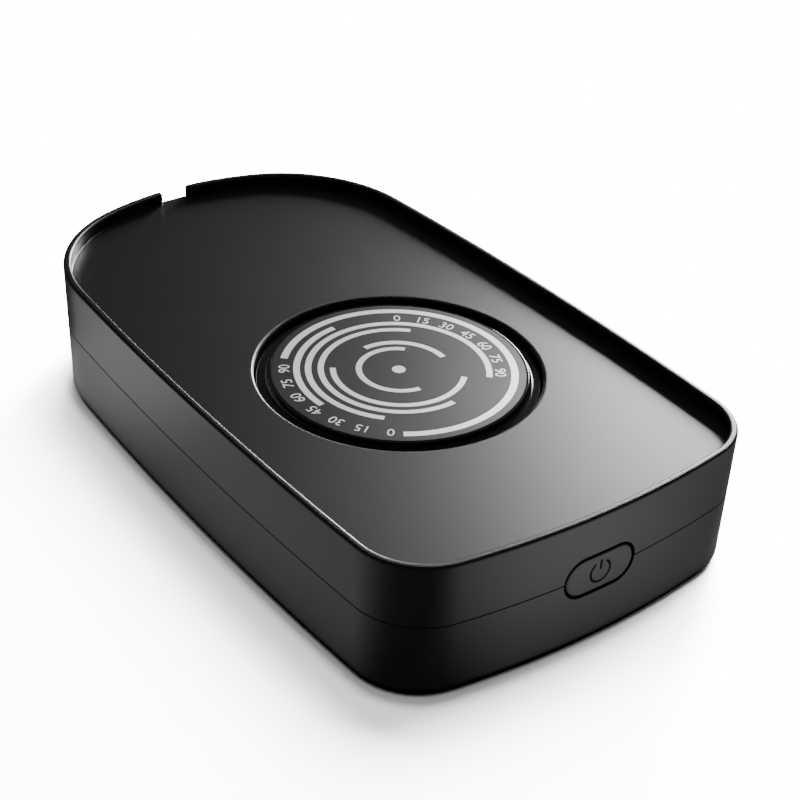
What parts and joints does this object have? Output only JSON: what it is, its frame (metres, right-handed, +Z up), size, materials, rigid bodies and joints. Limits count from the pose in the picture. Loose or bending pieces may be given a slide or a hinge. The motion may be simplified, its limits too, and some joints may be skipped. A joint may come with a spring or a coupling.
{
  "type": "mouse jiggler",
  "caption": "Desk tray for a computer mouse: raised rim with a cable notch, a motor-driven disc let into the tray, a side push button and a USB-C inlet.",
  "frame": {"origin": "middle of the footprint, on the plane that the rubber feet stand on", "axes": "+Z up, -Y out of the power button's face, +Y towards the arched end with the cable notch, +X to the right of someone who faces the button"},
  "size_m": [0.08, 0.1379, 0.0267],
  "materials": {
    "housing": "satin fine-spark moulded black",
    "turntable_gloss": "polished black",
    "face_film": "satin film, dark grey",
    "button_plastic": "satin black",
    "foot_rubber": "matt rubber",
    "screw_steel": "black zinc",
    "bright_steel": "turned",
    "plate_plastic": "glass-filled moulding",
    "gear_plastic": "natural acetal",
    "motor_steel": "zinc plated",
    "motor_end": "natural nylon",
    "magnet": "bonded ferrite",
    "armature_iron": "laminated iron",
    "pinion_brass": "hobbed brass",
    "plunger_plastic": "moulded",
    "switch_body": "moulded",
    "circuit_board": "green solder mask",
    "chip_body": "moulded epoxy",
    "capacitor_sleeve": "shrink sleeve",
    "socket_plastic": "moulded",
    "lead_cover": "flexible insulation"
  },
  "bodies": {
    "base": {"bottom_case": "housing", "top_cover": "housing", "rubber_feet": "foot_rubber", "case_screws": "screw_steel", "gearbox_plate": "plate_plastic", "gearbox_screws": "screw_steel", "gear_pins": "bright_steel", "thrust_washer": "gear_plastic", "motor_can": "motor_steel", "motor_end_cap": "motor_end", "motor_terminals": "pinion_brass", "motor_magnets": "magnet", "motor_screws": "screw_steel", "push_switch": "switch_body", "main_board": "circuit_board", "board_screws": "screw_steel", "controller_chip": "chip_body", "driver_chip": "chip_body", "storage_capacitor": "capacitor_sleeve", "board_sockets": "socket_plastic", "usb_board": "circuit_board", "usb_board_screws": "screw_steel", "usb_shell": "bright_steel", "usb_tongue": "chip_body", "power_leads": "lead_cover", "motor_leads": "lead_cover"},
    "turntable": {"turntable_disc": "turntable_gloss", "disc_face": "face_film", "turntable_gear": "gear_plastic", "turntable_axle": "bright_steel", "axle_clip": "bright_steel"},
    "final_gear": {"final_reduction_gear": "gear_plastic"},
    "first_gear": {"first_reduction_gear": "gear_plastic"},
    "rotor": {"motor_shaft": "bright_steel", "motor_armature": "armature_iron", "motor_pinion": "pinion_brass"},
    "button": {"power_button": "button_plastic", "switch_plunger": "plunger_plastic"}
  },
  "joints": [
    {"name": "turntable_spin", "type": "hinge", "parent": "base", "child": "turntable", "pos_m": [0, -0.0121, 0], "axis": [0, 0, 1], "continuous": true},
    {"name": "final_gear_spin", "type": "hinge", "parent": "base", "child": "final_gear", "pos_m": [0.00954, 0.00316, 0], "axis": [0, 0, 1], "continuous": true},
    {"name": "first_gear_spin", "type": "hinge", "parent": "base", "child": "first_gear", "pos_m": [0.00179, 0.01422, 0], "axis": [0, 0, 1], "continuous": true},
    {"name": "motor_rotor_spin", "type": "hinge", "parent": "base", "child": "rotor", "pos_m": [0.00021, 0.02713, 0], "axis": [0, 0, 1], "continuous": true},
    {"name": "power_button_slide", "type": "slide", "parent": "base", "child": "button", "axis": [0, 1, 0], "range_m": [0, 0.0008], "stiffness_N_per_m": 1000, "springref_m": -0.0005}
  ],
  "couplings": [
    {"joint": "final_gear_spin", "follows": "turntable_spin", "ratio": -5},
    {"joint": "first_gear_spin", "follows": "turntable_spin", "ratio": 17.5},
    {"joint": "motor_rotor_spin", "follows": "turntable_spin", "ratio": -73.5}
  ]
}
